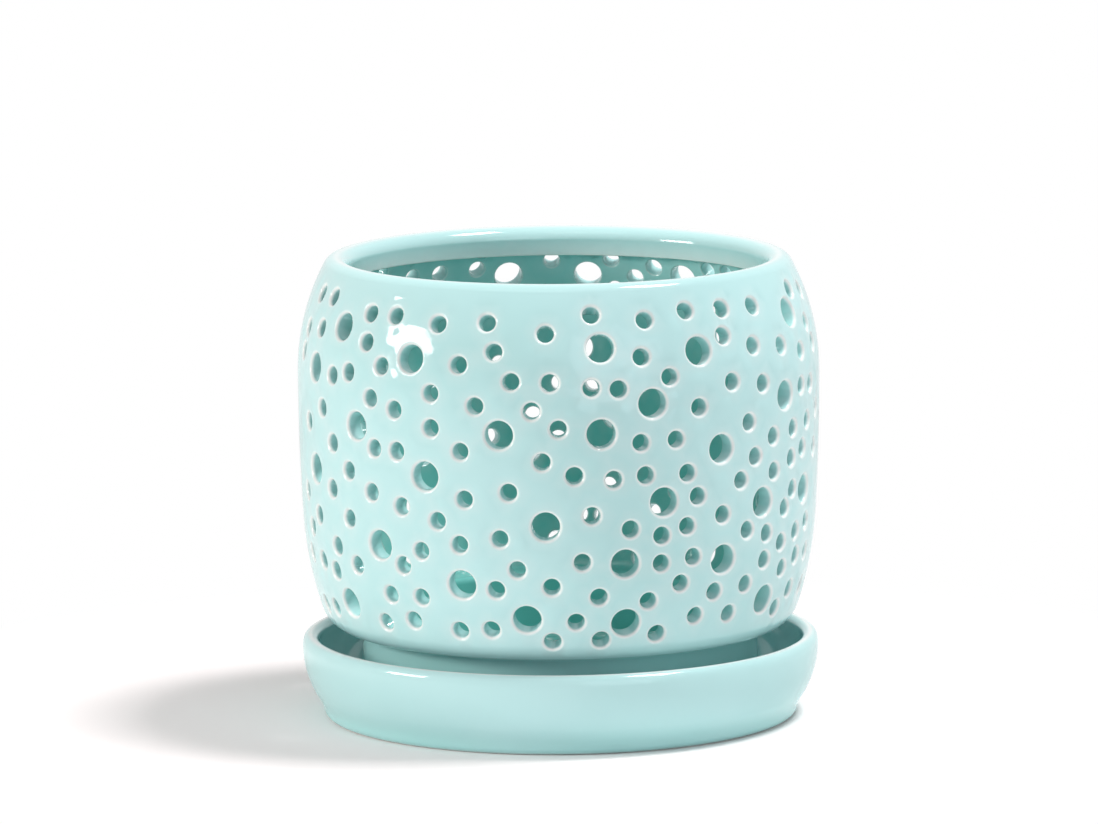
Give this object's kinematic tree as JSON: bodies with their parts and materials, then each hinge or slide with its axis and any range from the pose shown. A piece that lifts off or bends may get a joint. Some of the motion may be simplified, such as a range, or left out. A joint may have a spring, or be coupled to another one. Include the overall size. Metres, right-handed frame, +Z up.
{
  "type": "orchid pot",
  "caption": "Round-bellied glazed ceramic orchid pot, its wall pierced all over with round air holes, standing loose in a matching shallow saucer.",
  "frame": {"origin": "centre of the saucer's underside, where it rests on the ground", "axes": "+Z up along the axis of the pot and the saucer, -Y towards the front that the picture shows"},
  "size_m": [0.14, 0.1411, 0.1244],
  "materials": {
    "glaze": "gloss"
  },
  "bodies": {
    "saucer": {"saucer": "glaze"},
    "pot": {"pot": "glaze"}
  },
  "joints": [
    {"name": "pot_lift", "type": "slide", "parent": "saucer", "child": "pot", "axis": [0, 0, 1], "range_m": [0, 0.04]}
  ]
}
